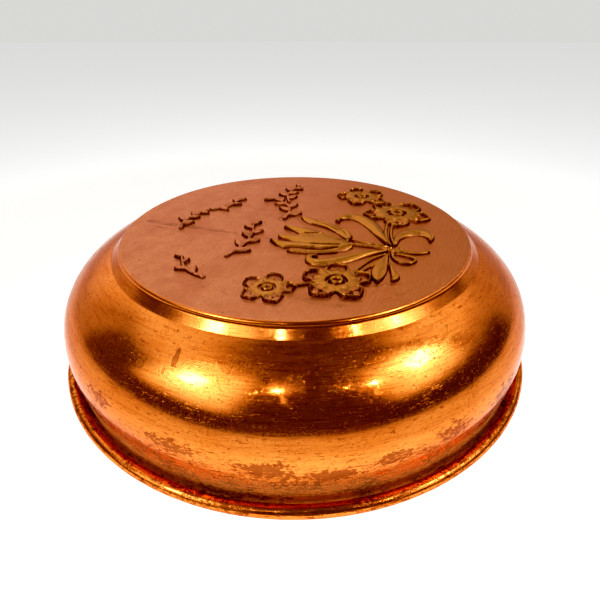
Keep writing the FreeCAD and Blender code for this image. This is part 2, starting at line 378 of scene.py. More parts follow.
def surface_line(depth, counts):
    """Points (r, z) of the surface at a depth below the outside, from the base's grid to the flange."""
    points = [(SPUN_START, sizes().base_height / MM - depth)]
    for (centre, radius, first, last, bulge), count in zip(profile_arcs(), counts):
        turn = 0 if bulge == 1 else 180
        arc = arc_points(centre, radius - bulge * depth, first + turn, last + turn, count)
        gap = math.dist(points[-1], arc[0])
        if gap > TOUCHING:
            points += line_points(points[-1], arc[0], max(1, round(gap / STRAIGHT_STEP)))[1:]
        points += arc[1:]
    return points


def spun(name, outline):
    """An outline of (r, z) in millimetres, drawn vertex by vertex in the X-Z plane and spun about Z."""
    deselect()
    start = Vector((outline[0][0], 0, outline[0][1])) * MM
    bpy.ops.mesh.primitive_plane_add(size=0.001, location=start)
    obj = named(name)
    bpy.ops.object.mode_set(mode="EDIT")
    bpy.ops.mesh.select_mode(type="VERT")
    bpy.ops.mesh.select_all(action="SELECT")
    bpy.ops.mesh.merge(type="CENTER")
    for a, b in zip(outline, outline[1:]):
        step = ((b[0] - a[0]) * MM, 0, (b[1] - a[1]) * MM)
        bpy.ops.mesh.extrude_vertices_move(TRANSFORM_OT_translate={"value": step})
    bpy.ops.mesh.select_all(action="SELECT")
    bpy.ops.mesh.spin(steps=sizes().turns, angle=2 * math.pi, center=(0, 0, 0), axis=(0, 0, 1))
    bpy.ops.object.mode_set(mode="OBJECT")
    bpy.ops.object.transform_apply(location=True, rotation=True, scale=True)
    merge_and_turn_out(obj, 2e-6)
    return obj


# ---- the embossing's height, in millimetres, at points on the base ----


def drawn(points, steps=9):
    """Smooth line through points whose third number is the half width there."""
    p = np.array(points, float)
    p = np.vstack([2 * p[0] - p[1], p, 2 * p[-1] - p[-2]])
    t = np.linspace(0, 1, steps, endpoint=False)[:, None]
    rows = [0.5 * (2 * b + (c - a) * t + (2 * a - 5 * b + 4 * c - d) * t ** 2
                   + (3 * b - a - 3 * c + d) * t ** 3)
            for a, b, c, d in zip(p, p[1:], p[2:], p[3:])]
    line = np.vstack(rows + [p[-2:-1]])
    line[:, 2] = np.maximum(line[:, 2], 0.2)
    return line


def near(xy, line, margin):
    lo = line[:, :2].min(0) - line[:, 2].max() - margin
    hi = line[:, :2].max(0) + line[:, 2].max() + margin
    return np.flatnonzero(((xy > lo) & (xy < hi)).all(1))


def measured(xy, line):
    """Share of the half width (1 at the edge), and distance outside the edge, of each point from a line."""
    share = np.full(len(xy), 1e3)
    gap = np.full(len(xy), 1e3)
    for a, b in zip(line, line[1:]):
        along = b[:2] - a[:2]
        t = np.clip(((xy - a[:2]) @ along) / max(along @ along, 1e-9), 0, 1)
        width = a[2] + (b[2] - a[2]) * t
        d = np.linalg.norm(xy - a[:2] - t[:, None] * along, axis=1)
        better = d - width < gap
        share[better] = (d / width)[better]
        gap[better] = (d - width)[better]
    return share, gap


def eased(x, low, high):
    t = np.clip((x - low) / (high - low), 0, 1)
    return t * t * (3 - 2 * t)


def petal(d, angle, k):
    """A petal's height, the painted shade in its cup and the distance from its edge, all in shares."""
    middle, long, wide = PETAL
    out = d @ (-sine(angle), cosine(angle))
    side = d @ (cosine(angle), sine(angle))
    wobble = 1 + 0.05 * np.sin(5 * np.arctan2(side, out - middle) + k)
    u = np.hypot((out - middle) / long, side / wide) / wobble
    lip = np.exp(-((u - 0.85) / 0.12) ** 2)
    inward = eased(-out, -0.76, -0.44)
    rays = 0.13 * np.cos(side / 0.045) * eased(out, 0.36, 0.55) * eased(-u, -0.72, -0.5)
    height = np.maximum(lip * (0.98 - 0.30 * inward), 0.70 * inward + rays) * np.clip((1.04 - u) / 0.12, 0, 1)
    # painted shade: how far into the petal's cup a point lies, used only to darken the cup
    cup = eased(-u, -0.78, -0.66) * eased(out, 0.58, 0.70) * (0.8 + rays * 2)
    return height, cup, (u - 1) * 0.38


class Relief:
    """Raised bodies, the grooves round them, the cuts in them and the painted shade in the petals' cups, over a
    set of points.
    """

    def __init__(self, xy):
        self.xy = xy
        self.body = np.zeros(len(xy))
        self.groove = np.zeros(len(xy))
        self.cut = np.zeros(len(xy))
        self.cup = np.zeros(len(xy))

    def raise_line(self, points, height, power=3.0, groove=0.5, reach=0.7):
        line = drawn(points)
        at = near(self.xy, line, 3)
        if not len(at):
            return
        share, gap = measured(self.xy[at], line)
        top = height * (1 - np.clip(share, 0, 1) ** power)
        self.body[at] = np.maximum(self.body[at], top)
        beside = groove * np.exp(-(np.maximum(gap, 0) / reach) ** 2)
        self.groove[at] = np.maximum(self.groove[at], beside)

    def cut_line(self, points, depth):
        line = drawn(points)
        at = near(self.xy, line, 1)
        if not len(at):
            return
        share, _ = measured(self.xy[at], line)
        self.cut[at] = np.maximum(self.cut[at], depth * np.clip(1 - share ** 2, 0, 1))

    def raise_flower(self, x, y, radius, turn, height):
        d = self.xy - (x, y)
        at = np.flatnonzero(np.hypot(d[:, 0], d[:, 1]) < radius * 1.35)
        if not len(at):
            return
        d = d[at] / radius
        rho = np.hypot(d[:, 0], d[:, 1])
        best = np.zeros(len(at))
        cups = np.zeros(len(at))
        outside = np.full(len(at), 9.0)
        for k in range(PETALS):
            tall, cup, gap = petal(d, turn + 360 / PETALS * k, k)
            best = np.maximum(best, tall)
            cups = np.maximum(cups, cup)
            outside = np.minimum(outside, gap)
        pit = np.exp(-((rho - 0.245) / 0.045) ** 2)
        ring = 0.95 * np.exp(-((rho - 0.145) / 0.06) ** 2) + 0.35 * np.exp(-(rho / 0.05) ** 2)
        best = np.where(rho < 0.30, np.maximum(best * (1 - 0.95 * pit), ring), best)
        self.body[at] = np.maximum(self.body[at], best * height)
        self.cup[at] = np.maximum(self.cup[at], cups)
        gap = np.maximum(outside * radius, 0)
        self.groove[at] = np.maximum(self.groove[at], 0.5 * np.exp(-(gap / 0.6) ** 2))

    def raise_sprig(self, start, end, bow, leaves, length):
        a, b = np.array(start, float), np.array(end, float)
        along = (b - a) / np.linalg.norm(b - a)
        aside = np.array((-along[1], along[0]))
        stem = []
        for t in np.linspace(0, 1, 5):
            p = a + (b - a) * t + aside * bow * 4 * t * (1 - t)
            stem.append((p[0], p[1], 1.25 - 0.45 * t))
        self.raise_line(stem, 1.1, 2.4, 0.55, 0.9)
        line = drawn(stem)
        for k in range(leaves):
            t = (k + 0.8) / leaves
            i = min(int(t * (len(line) - 1)), len(line) - 2)
            root = line[i, :2]
            ahead = line[i + 1, :2] - root
            ahead /= np.linalg.norm(ahead)
            side = 1 if k % 2 else -1
            lean = np.array((-ahead[1], ahead[0])) * side
            size = length * (1 - 0.35 * t)
            tip = root + ahead * size * 0.62 + lean * size * 0.72
            middle = root + ahead * size * 0.42 + lean * size * 0.30
            self.raise_line([(*root, 0.6), (*middle, size * 0.31), (*tip, 0.5)], 1.45, 2.8, 0.65, 1.0)

    def height(self):
        body = np.where(self.body > 0, np.maximum(self.body - self.cut * (self.body > 0.2), 0.02), 0)
        groove = self.groove * (1 - eased(body, 0.0, 0.45)) + 0.3 * self.cut * (self.body <= 0.2)
        return body - groove


def bouquet(xy):
    """The bouquet's relief at points (x, y) in millimetres."""
    r = Relief(xy)
    high = sizes().relief / MM
    for name, line in TULIP.items():
        tall = {"body": 1.0, "tip": 0.95, "side": 0.66}[name.split("_")[0]]
        r.raise_line(line, high * tall, 3.0 if name == "body" else 1.9, 0.62, 0.9)
    r.raise_line(SEPAL, high * 0.9, 2.2)
    for name, line in LEAVES.items():
        r.raise_line(line, high * (0.82 if name.startswith("low") else 0.96), 2.0, 0.62, 0.9)
    for line in STEMS:
        r.raise_line(line, high * 0.62, 2.2, 0.55, 0.9)
    for line in RIBBON:
        r.raise_line(line, high * 0.7, 2.2, 0.55, 0.8)
    for x, y, radius, turn in FLOWERS:
        r.raise_flower(x, y, radius, turn, min(high * 0.98, radius * 0.115))
    for line in VEINS:
        r.cut_line(line, 0.75)
    return r


def embossing(xy):
    """Height of the embossing and of the sheet's dents at points (x, y) in millimetres."""
    r = bouquet(xy)
    for sprig in SPRIGS:
        r.raise_sprig(*sprig)
    return r.height() + dents(xy)


def outside_crease(xy, start, end, half):
    """Distance of points outside a crease's edge; on its middle line that is minus the half width."""
    return measured(xy, np.array([(*start, half), (*end, half)], float))[1]


def dents(xy):
    """Gentle waviness of the base, with its long creases, fading out at the shoulder."""
    x, y = xy[:, 0], xy[:, 1]
    wave = 0.10 * np.sin(x / 17 + 1.3) * np.cos(y / 21 - 0.4) + 0.06 * np.sin(x / 7.3 + y / 9.1)
    wave += 0.035 * np.sin(x / 3.9 - y / 5.3 + 0.7) * np.sin(y / 4.7 + 1.1)
    for start, end, half, depth in CREASES:
        wave -= depth * np.exp(-((outside_crease(xy, start, end, half) + half) / half) ** 2)
    return (wave - 0.02) * eased(-np.hypot(x, y), -75, -66)


def between(grid, xy):
    """Value at points between those of a grid that reaches MAP_REACH each way."""
    place = np.clip((xy + MAP_REACH) / MAP_STEP, 0, len(grid) - 1.001)
    i = place.astype(int)
    t = place - i
    x, y = i.T
    near_row = grid[x, y] * (1 - t[:, 1]) + grid[x, y + 1] * t[:, 1]
    far_row = grid[x + 1, y] * (1 - t[:, 1]) + grid[x + 1, y + 1] * t[:, 1]
    return near_row * (1 - t[:, 0]) + far_row * t[:, 0]


def surroundings():
    """Grids of the lowest and of the mean embossing round each place, and of its steepness."""
    line = np.arange(-MAP_REACH, MAP_REACH + MAP_STEP / 2, MAP_STEP)
    xy = np.stack(np.meshgrid(line, line, indexing="ij"), -1).reshape(-1, 2)
    level = embossing(xy).reshape(len(line), len(line))
    lowest, mean = level.copy(), np.zeros_like(level)
    moves = [(i, j) for i in range(-4, 5) for j in range(-4, 5) if i * i + j * j < 20]
    for i, j in moves:
        moved = np.roll(level, (i, j), (0, 1))
        if i * i + j * j < 9:
            lowest = np.minimum(lowest, moved)
        mean += moved / len(moves)
    return np.minimum(lowest, 1.2), mean, np.hypot(*np.gradient(level, MAP_STEP))


def bent_faces(disc, size, rise):
    """The faces, not finer than the size, that the embossing bends too much."""
    mesh = disc.data
    xy = vertices_of(disc)[:, :2] / MM
    level = rise(xy)
    ends = numbers(mesh.edges, "vertices", 2, int)
    bend = np.abs(rise(xy[ends].mean(1)) - level[ends].mean(1))
    starts = numbers(mesh.polygons, "loop_start", kind=int)
    corners = np.diff(np.append(starts, len(mesh.loops)))
    mean = np.add.reduceat(level[numbers(mesh.loops, "vertex_index", kind=int)], starts) / corners
    middle = rise(numbers(mesh.polygons, "center", 3)[:, :2] / MM)
    edges = np.maximum.reduceat(bend[numbers(mesh.loops, "edge_index", kind=int)], starts)
    coarse = numbers(mesh.polygons, "area") > (size * MM) ** 2 * 0.3
    return (np.maximum(edges, np.abs(middle - mean)) > BEND) & coarse


def base_disc(name, height, step, halvings, rise):
    """The flat base as a grid, cut to a disc, made finer where the embossing bends, and raised by it."""
    deselect()
    cells = int(2 * DISC_EDGE / step) + 1
    bpy.ops.mesh.primitive_grid_add(x_subdivisions=cells, y_subdivisions=cells, size=cells * step * MM,
                                    location=(0, 0, height * MM))
    disc = named(name)
    bpy.ops.object.transform_apply(location=True, rotation=True, scale=True)
    bpy.ops.object.mode_set(mode="EDIT")
    bpy.ops.mesh.select_mode(type="VERT")
    bpy.ops.mesh.select_all(action="DESELECT")
    bpy.ops.object.mode_set(mode="OBJECT")
    outside = np.hypot(*(vertices_of(disc)[:, :2] / MM).T) > DISC_EDGE - 0.8
    disc.data.vertices.foreach_set("select", outside)
    bpy.ops.object.mode_set(mode="EDIT")
    bpy.ops.mesh.delete(type="VERT")
    bpy.ops.object.mode_set(mode="OBJECT")
    for k in range(halvings):
        select_faces(disc, bent_faces(disc, step / 2 ** k, rise))
        bpy.ops.mesh.subdivide(number_cuts=1, ngon=False)
        bpy.ops.object.mode_set(mode="OBJECT")
    places = vertices_of(disc)
    places[:, 2] += rise(places[:, :2] / MM) * MM
    place_vertices(disc, places)
    return disc


def wall_shift(places):
    """Low waves in the spun wall: a few tenths of a millimetre, none at the rim."""
    x, y, z = (places / MM).T
    around = np.arctan2(y, x)
    fade = eased(z, 6, 16) * (1 - eased(z, 50, 53.5))
    wave = 0.10 * np.sin(3 * around + 0.6) + 0.07 * np.sin(7 * around + z / 9)
    wave += 0.04 * np.sin(13 * around - z / 6)
    shift = (wave - 0.14) * fade * MM
    edge = 0.28 * np.sin(2 * around + 0.9) + 0.16 * np.sin(5 * around + 2.1)
    shift += edge * eased(z, 44, 53) * eased(np.hypot(x, y), 70, 76) * MM
    out = places.copy()
    radius = np.maximum(np.hypot(places[:, 0], places[:, 1]), 1e-6)
    out[:, 0] += places[:, 0] / radius * shift
    out[:, 1] += places[:, 1] / radius * shift
    return out


def close_base(obj, discs):
    """Joins the base's discs to the spun wall and fills the ring between each disc and its loop."""
    activate(obj)
    for disc in discs:
        disc.select_set(True)
    bpy.ops.object.join()
    for _ in discs:
        bpy.ops.object.mode_set(mode="EDIT")
        bpy.ops.mesh.select_mode(type="EDGE")
        bpy.ops.mesh.select_all(action="DESELECT")
        bpy.ops.mesh.select_non_manifold(extend=False, use_wire=False, use_boundary=True, use_multi_face=False,
                                         use_non_contiguous=False, use_verts=False)
        bpy.ops.object.mode_set(mode="OBJECT")
        mesh = obj.data
        edges = numbers(mesh.edges, "select", kind=bool)
        height = vertices_of(obj)[:, 2][numbers(mesh.edges, "vertices", 2, int)].mean(1) / MM
        highest = edges & (height > height[edges].max() - 0.15)
        mesh.vertices.foreach_set("select", np.zeros(len(mesh.vertices), bool))
        mesh.edges.foreach_set("select", highest)
        bpy.ops.object.mode_set(mode="EDIT")
        bpy.ops.mesh.fill(use_beauty=True)
        bpy.ops.object.mode_set(mode="OBJECT")
    merge_and_turn_out(obj)


def mark_embossing(obj, mean, steep):
    """Stores on the base the height of the embossing and of the bouquet alone, the painted shade in its
    recesses, on its steep slopes and in the petals' cups, in millimetres, and the painted shade along its
    creases, from 0 to 1."""
    places = vertices_of(obj) / MM
    level = sizes().base_height / MM - 1.2
    top = (places[:, 2] > level) & (np.hypot(places[:, 0], places[:, 1]) < DISC_EDGE)
    xy = places[top, :2]
    own = embossing(xy)
    flowers = bouquet(xy)
    # painted shade: darker where the sheet lies below its surroundings, on steep slopes and in the petals' cups
    painted_flank_shade = 0.26 * eased(between(steep, xy), 0.55, 1.35)
    painted_hollow_shade = np.maximum(np.maximum(between(mean, xy) - own, painted_flank_shade), 0.4 * flowers.cup)
    # painted shade along the creases, darkest at their edges, from 0 to 1
    crease_shade = np.zeros(len(xy))
    for start, end, half, _ in CREASES:
        gap = outside_crease(xy, start, end, half)
        near_edge = 0.45 + 0.55 * np.exp(-(gap / 0.35) ** 2)
        crease_shade = np.maximum(crease_shade, np.exp(-np.maximum(gap, 0) / 0.5) * near_edge)
    for name, values in (("embossed", own - dents(xy)), ("gilded", flowers.height()),
                         ("crease_shade", crease_shade), ("painted_hollow_shade", painted_hollow_shade)):
        spread = np.zeros(len(places), np.float32)
        spread[top] = values
        obj.data.attributes.new(name, "FLOAT", "POINT").data.foreach_set("value", spread)


def ripples(points, middle=50.0, reach=1.6, height=0.035, spacing=1.25):
    """The profile's points with the burnisher's fine waves, which lie along the neck's cone."""
    out = []
    for r, z in points:
        strength = math.exp(-((z - middle) / reach) ** 2) if r > RIPPLE_START else 0
        shift = height * strength * math.sin((z - middle) * 2 * math.pi / spacing)
        out.append(turned((r, z), shift, NECK_ANGLE))
    return out


# ---- materials ----


class Wiring:
    """Adds nodes to a tree in short lines."""

    def __init__(self, tree):
        self.tree = tree
        tree.nodes.clear()

    def add(self, kind, **settings):
        node = self.tree.nodes.new(kind)
        for key, value in settings.items():
            setattr(node, key, value)
        return node

    def link(self, source, socket):
        self.tree.links.new(source, socket)

    def feed(self, socket, value):
        if isinstance(value, bpy.types.NodeSocket):
            self.link(value, socket)
        else:
            socket.default_value = value

    def math(self, operation, a, b=0.0, c=0.0, clamp=False):
        node = self.add("ShaderNodeMath", operation=operation, use_clamp=clamp)
        for socket, value in zip(node.inputs, (a, b, c)):
            self.feed(socket, value)
        return node.outputs[0]

    def times(self, a, b):
        return self.math("MULTIPLY", a, b)

    def most(self, a, b):
        return self.math("MAXIMUM", a, b)

    def ramp(self, value, low, high, start=0.0, end=1.0):
        """value, eased from start to end as it goes from low to high."""
        node = self.add("ShaderNodeMapRange", interpolation_type="SMOOTHSTEP")
        for socket, v in zip(node.inputs[:5], (value, low, high, start, end)):
            self.feed(socket, v)
        return node.outputs["Result"]

    def blend(self, share, a, b):
        node = self.add("ShaderNodeMix", data_type="FLOAT")
        self.feed(node.inputs[0], share)
        self.feed(node.inputs[2], a)
        self.feed(node.inputs[3], b)
        return node.outputs[0]


class Nodes(Wiring):
    """A material's nodes, which have the object's places in millimetres."""

    def __init__(self, name):
        self.material = bpy.data.materials.new(name)
        self.material.use_nodes = True
        super().__init__(self.material.node_tree)
        self.shader = self.add("ShaderNodeBsdfPrincipled")
        out = self.add("ShaderNodeOutputMaterial")
        self.link(self.shader.outputs["BSDF"], out.inputs["Surface"])
        place = self.add("ShaderNodeTexCoord").outputs["Object"]
        self.mm = self.mapped(place, (1 / MM, 1 / MM, 1 / MM))
        split = self.add("ShaderNodeSeparateXYZ")
        self.link(self.mm, split.inputs[0])
        self.x, self.y, self.z = split.outputs

    def mapped(self, vector, scale=(1, 1, 1), turn=(0, 0, 0), shift=(0, 0, 0)):
        node = self.add("ShaderNodeMapping")
        self.link(vector, node.inputs["Vector"])
        node.inputs["Scale"].default_value = scale
        node.inputs["Rotation"].default_value = turn
        node.inputs["Location"].default_value = shift
        return node.outputs["Vector"]

    def noise(self, scale, detail=3.0, rough=0.55, vector=None, distortion=0.0):
        node = self.add("ShaderNodeTexNoise")
        self.link(vector or self.mm, node.inputs["Vector"])
        settings = {"Scale": scale, "Detail": detail, "Roughness": rough, "Distortion": distortion}
        for key, value in settings.items():
            node.inputs[key].default_value = value
        return node.outputs["Fac"]

    def attribute(self, name):
        return self.add("ShaderNodeAttribute", attribute_name=name).outputs["Fac"]

    def radius(self):
        """Distance from the mould's axis."""
        return self.math("SQRT", self.math("ADD", self.times(self.x, self.x), self.times(self.y, self.y)))

    def mix(self, share, a, b):
        node = self.add("ShaderNodeMix", data_type="RGBA")
        self.feed(node.inputs["Factor"], share)
        for socket, colour in ((node.inputs[6], a), (node.inputs[7], b)):
            self.feed(socket, colour if isinstance(colour, bpy.types.NodeSocket) else (*colour, 1))
        return node.outputs[2]

    def layered(self, colour, layers):
        """The colour under layers of (mask, strength, colour)."""
        for mask, strength, over in layers:
            colour = self.mix(self.times(mask, strength), colour, over)
        return colour

    def bump(self, height, distance, before=None, strength=1.0):
        node = self.add("ShaderNodeBump")
        node.inputs["Strength"].default_value = strength
        node.inputs["Distance"].default_value = distance
        self.link(height, node.inputs["Height"])
        if before is not None:
            self.link(before, node.inputs["Normal"])
        return node.outputs["Normal"]

    def spot(self, azimuth, height, wide, tall, ragged=0.5, inner=0.82):
        """Mask of a stain on the wall, its half sizes in millimetres across and up."""
        centre = (*turned((0, 0), STAIN_RADIUS, azimuth), height)
        moved = self.mapped(self.mm, shift=tuple(-c for c in centre))
        faced = self.mapped(moved, turn=(0, 0, -math.radians(azimuth)))
        flat = self.mapped(faced, (0.02, 1 / wide, 1 / tall))
        length = self.add("ShaderNodeVectorMath", operation="LENGTH")
        self.link(flat, length.inputs[0])
        edge = self.math("MULTIPLY_ADD", self.noise(0.35, 4, 0.6), ragged * 2, -ragged)
        return self.ramp(self.math("ADD", length.outputs["Value"], edge), 1.0, inner)


def toned(colour, shares):
    """A colour times one share, or times a share for each channel."""
    return tuple(np.multiply(colour, shares).tolist())


def scratches(n, turn, density, seed):
    """Thin straight scratches in one direction: narrow peaks of stretched noise."""
    stretched = n.mapped(n.mm, (0.025, 1.6, 0.4), turn=(0, 0, math.radians(turn)), shift=(seed, seed * 1.7, 0))
    value = n.noise(1.0, 1.0, 0.4, stretched)
    return n.ramp(n.math("ABSOLUTE", n.math("SUBTRACT", value, density)), 0.006, 0.0)


# Stains on the wall: azimuth from +X in degrees, height, half width, half height in millimetres, strength
STAINS = [
    (-151, 48.5, 13.0, 0.9, 0.45),
    (-177, 44.8, 1.2, 1.7, 0.85),
    (-178.5, 42.0, 0.9, 0.9, 0.6),
    (-184, 41.6, 1.5, 1.0, 0.55),
]
# The same for the places where the patina is in flakes
FLAKED = [
    (-158, 19.5, 12.0, 4.5, 1.0),
    (-147, 16.5, 12.0, 4.0, 1.0),
    (-136, 20.0, 8.0, 4.5, 0.75),
    (-124, 21.5, 10.0, 5.5, 0.7),
    (-175, 22.5, 12.0, 3.5, 0.7),
    (-192, 26.0, 10.0, 4.0, 0.6),
    (-108, 22.0, 12.0, 6.0, 0.6),
    (35, 15.0, 16.0, 6.0, 0.9),
    (80, 21.0, 14.0, 5.0, 0.7),
    (130, 20.0, 14.0, 6.0, 0.6),
]
# painted reflection: the base is painted darker and more orange towards this direction, for the darker room it
# mirrors there
PAINTED_SHADE_SIDE = (0.446, -0.895)    # the base is more orange towards this direction


def wall_colour(n, wall, cloud, streak):
    """Polished copper: clouded, brushed round by the spinning and speckled."""
    brushed = n.noise(1.0, 3, 0.65, n.mapped(n.mm, (0.09, 0.09, 3.2), shift=(2, 4, 6)))
    speckled = n.noise(0.9, 5, 0.75, n.mapped(n.mm, (1, 1, 1.3), shift=(12, 3, 5)))
    clouded = n.mix(n.ramp(cloud, 0.3, 0.72), wall, toned(wall, (0.88, 0.80, 0.7)))
    return n.layered(clouded, (
        (n.ramp(streak, 0.50, 0.72), 0.35, toned(wall, (0.62, 0.45, 0.35))),
        (n.ramp(brushed, 0.50, 0.66), 0.45, toned(wall, (0.55, 0.38, 0.30))),
        (n.ramp(speckled, 0.54, 0.66), 0.55, toned(wall, (0.45, 0.28, 0.20)))))


def base_colour(n, base, patina, mottled, grain):
    """Rubbed copper: mottled, smoky and pitted, with painted shade along the creases and a painted reflection
    that makes one side darker and more orange.
    """
    smoky = n.noise(0.055, 4, 0.65, n.mapped(n.mm, shift=(17, 22, 0)))
    rubbed = n.noise(1.0, 4, 0.65, n.mapped(n.mm, (0.05, 0.9, 1), turn=(0, 0, 0.45), shift=(7, 2, 0)))
    pits = n.ramp(n.noise(0.75, 2, 0.5, n.mapped(n.mm, shift=(40, 3, 0))), 0.70, 0.76)
    aside = n.math("ADD", n.times(n.x, PAINTED_SHADE_SIDE[0]), n.times(n.y, PAINTED_SHADE_SIDE[1]))
    copper = n.mix(n.ramp(mottled, 0.3, 0.7), base, toned(base, (0.86, 0.82, 0.80)))
    return n.layered(copper, (
        (n.ramp(grain, 0.50, 0.68), 0.45, toned(base, 0.55)),
        (n.ramp(smoky, 0.44, 0.66), 0.42, toned(base, (0.66, 0.55, 0.50))),
        (n.ramp(rubbed, 0.52, 0.70), 0.40, toned(base, (0.72, 0.58, 0.50))),
        # painted shade along the creases
        (n.attribute("crease_shade"), 0.8, toned(base, 0.42)),
        (pits, 0.8, patina),
        # painted reflection: darker and more orange towards one side
        (n.ramp(aside, -35, 55), 0.72, toned(base, (0.90, 0.80, 0.55)))))


def stain_mask(n, cloud, radius):
    """Where the oxide is: flakes and fine lines low on the wall, stains, specks and the seam of the rim."""
    low_wall = n.ramp(n.z, 30, 12)
    patches = n.noise(0.07, 3, 0.6, n.mapped(n.mm, (1, 1, 1.6), shift=(31, 7, 3)))
    dense = n.times(n.ramp(patches, 0.36, 0.66), n.times(low_wall, 0.6))
    for *place, strength in FLAKED:
        dense = n.most(dense, n.times(n.spot(*place, 0.9, 0.5), strength))
    flakes = n.noise(0.62, 6, 0.72, n.mapped(n.mm, (1, 1, 1.9), shift=(9, 4, 2)))
    stain = n.times(n.ramp(n.math("MULTIPLY_ADD", dense, 0.24, flakes), 0.585, 0.665), 0.85)
    stretched = n.noise(1.0, 4, 0.7, n.mapped(n.mm, (0.16, 0.16, 2.1), shift=(5, 9, 2)))
    lines = n.ramp(n.math("MULTIPLY_ADD", low_wall, 0.08, stretched), 0.615, 0.69)
    stain = n.times(n.most(stain, lines), n.ramp(n.z, 51.5, 49.0))
    for *place, strength in STAINS:
        stain = n.most(stain, n.times(n.spot(*place), strength))
    specks = n.times(n.ramp(n.noise(0.9, 3, 0.7, n.mapped(n.mm, shift=(3, 8, 1))), 0.70, 0.75), 0.6)
    stain = n.most(stain, n.times(specks, n.ramp(cloud, 0.35, 0.6)))
    from_seam = n.math("ABSOLUTE", n.math("SUBTRACT", radius, SEAM_RADIUS))
    seam = n.times(n.ramp(n.z, 2.0, 0.9), n.ramp(from_seam, 0.7, 0.2))
    return n.most(stain, n.times(seam, 0.8))


def copper_material():
    f = finish()
    n = Nodes("worn_copper")
    wall, base, gilt, patina, tin = (tuple(c) for c in (f.wall, f.base, f.gilt, f.patina, f.tin))
    radius = n.radius()
    on_base = n.times(n.ramp(n.z, 52.6, 53.7), n.ramp(radius, 77.6, 76.2))
    # partly painted light: low on the wall the copper is a paler, less metallic oxide film, which also stands
    # in for the pale floor mirrored there
    foot = n.times(n.ramp(n.z, 16, 6), n.ramp(radius, 106.6, 105.8))
    cloud = n.noise(0.035, 4, 0.6)
    mottled = n.noise(0.16, 5, 0.65, distortion=0.6)
    grain = n.noise(1.3, 4, 0.6)
    streak = n.noise(1.0, 4, 0.6, n.mapped(n.mm, (0.05, 0.05, 0.9)))
    stain = stain_mask(n, cloud, radius)
    raised = n.times(n.ramp(n.attribute("gilded"), 0.30, 1.0), 0.85)
    # painted shade in the patina's colour: the grooves below the base and the painted shade of its recesses
    painted_crevice_shade = n.most(n.ramp(n.attribute("embossed"), -0.02, -0.15), n.ramp(n.attribute("painted_hollow_shade"), 0.06, 0.30))
    wiped = n.times(n.ramp(n.noise(0.12, 4, 0.7), 0.55, 0.62), n.ramp(n.z, 2.1, 0.9))
    cut = scratches(n, 24, 0.50, 3)
    for turn, seed in ((63, 11), (-38, 19), (8, 27), (-71, 41)):
        cut = n.most(cut, scratches(n, turn, 0.52, seed))

    # paler copper low on the wall: an oxide film and a painted reflection of the floor
    colour = n.mix(n.times(foot, 0.65), wall_colour(n, wall, cloud, streak), (0.93, 0.48, 0.20))
    colour = n.mix(on_base, colour, base_colour(n, base, patina, mottled, grain))
    colour = n.mix(raised, colour, gilt)
    # painted shade in the grooves and recesses, then the real stains, both in the patina's colour
    colour = n.layered(colour, ((painted_crevice_shade, 0.96, patina), (stain, 0.8, patina)))
    colour = n.mix(wiped, colour, tin)
    colour = n.mix(n.times(n.times(cut, on_base), 0.6), colour, toned(base, 1.15))
    n.link(colour, n.shader.inputs["Base Color"])
    n.link(n.math("MULTIPLY_ADD", foot, -0.45, 1.0), n.shader.inputs["Metallic"])
    n.shader.inputs["Specular Tint"].default_value = (0.80, 0.66, 0.66, 1)

    rough = n.math("MULTIPLY_ADD", n.ramp(mottled, 0.35, 0.75), 0.09, 0.09)
    rough = n.math("ADD", rough, n.times(n.ramp(streak, 0.45, 0.7), 0.07))
    rough = n.math("MULTIPLY_ADD", foot, 0.20, rough)
    rough = n.blend(on_base, rough, n.math("MULTIPLY_ADD", grain, 0.12, 0.34))
    rough = n.blend(raised, rough, 0.27)
    rough = n.math("ADD", rough, n.times(stain, 0.22), clamp=True)
    n.link(rough, n.shader.inputs["Roughness"])

    scored = n.times(cut, n.math("MULTIPLY_ADD", on_base, 0.92, 0.08))
    normal = n.bump(n.noise(0.06, 1, 0.5), 0.0010, strength=0.10)
    normal = n.bump(n.noise(0.5, 3, 0.6), 0.0002, normal, 0.04)
    normal = n.bump(n.math("SUBTRACT", 1.0, scored), 0.00006, normal, 0.6)
    normal = n.bump(n.math("SUBTRACT", 1.0, stain), 0.00004, normal, 0.4)
    n.link(normal, n.shader.inputs["Normal"])
    return n.material


def metal_material(name, colour, dark, rough, scale, streaked=(1, 1, 1)):
    """A worn metal: clouded colour, tarnish in patches, uneven gloss and fine handling marks."""
    n = Nodes(name)
    cloud = n.noise(scale, 4, 0.6)
    fine = n.noise(scale * 9, 4, 0.65, n.mapped(n.mm, streaked))
    tarnish = n.times(n.ramp(n.noise(scale * 2.3, 5, 0.7), 0.52, 0.68), 0.75)
    tint = n.mix(n.ramp(cloud, 0.3, 0.7), colour, toned(colour, 0.78))
    tint = n.mix(n.times(n.ramp(fine, 0.5, 0.75), 0.35), tint, toned(colour, 0.55))
    n.link(n.mix(tarnish, tint, dark), n.shader.inputs["Base Color"])
    n.shader.inputs["Metallic"].default_value = 1.0
    gloss = n.math("MULTIPLY_ADD", fine, 0.20, rough - 0.06)
    n.link(n.math("ADD", gloss, n.times(tarnish, 0.15), clamp=True), n.shader.inputs["Roughness"])
    normal = n.bump(cloud, 0.0004, strength=0.15)
    n.link(n.bump(fine, 0.00008, normal, 0.5), n.shader.inputs["Normal"])
    return n.material


